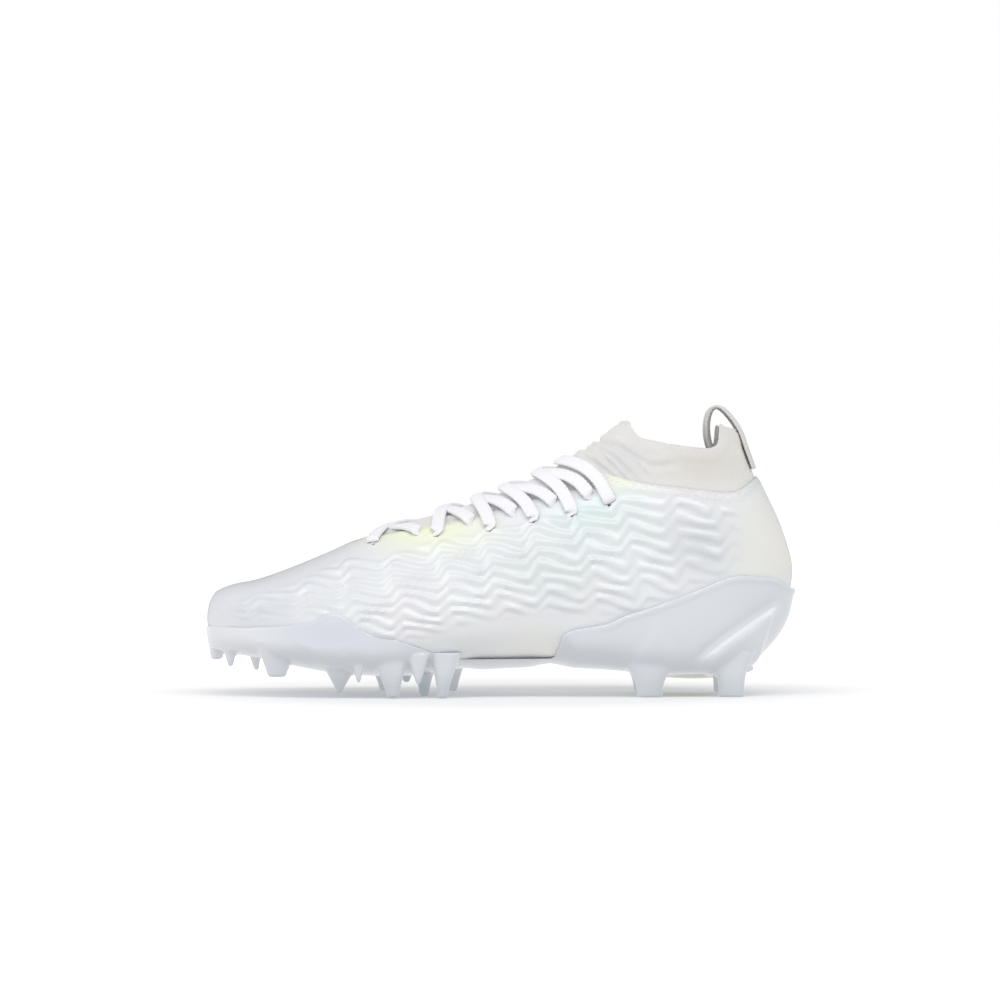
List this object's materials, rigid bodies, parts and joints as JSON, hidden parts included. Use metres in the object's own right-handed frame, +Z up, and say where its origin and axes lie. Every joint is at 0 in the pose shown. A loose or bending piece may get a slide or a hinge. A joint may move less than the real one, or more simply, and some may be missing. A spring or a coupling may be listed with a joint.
{
  "type": "american football cleat",
  "caption": "Low knit football cleat with a moulded shell, sock collar, laced throat, heel loop and a studded plate with a heel wing.",
  "frame": {"origin": "middle of the shoe's box, on the plane that the studs stand on", "axes": "+Z up, +X from the toe to the heel, -Y towards the outer side of the foot"},
  "size_m": [0.2906, 0.1018, 0.1411],
  "materials": {
    "shell": "pearl white film over knit, satin with a green and pink sheen, raised wave ribs",
    "knit": "warm white knit, matte",
    "plate": "cool white moulded nylon, glossy",
    "footbed": "white textile over foam, matte",
    "lace": "white flat woven lace, matte",
    "webbing": "off-white ribbed webbing, matte"
  },
  "bodies": {
    "root": {"upper": "shell", "sock": "knit", "outsole": "plate", "footbed": "footbed", "lace_crossing_1": "lace", "lace_crossing_2": "lace", "lace_crossing_3": "lace", "lace_crossing_4": "lace", "lace_crossing_5": "lace", "lace_top_bar": "lace", "pull_loop": "webbing"}
  },
  "joints": []
}
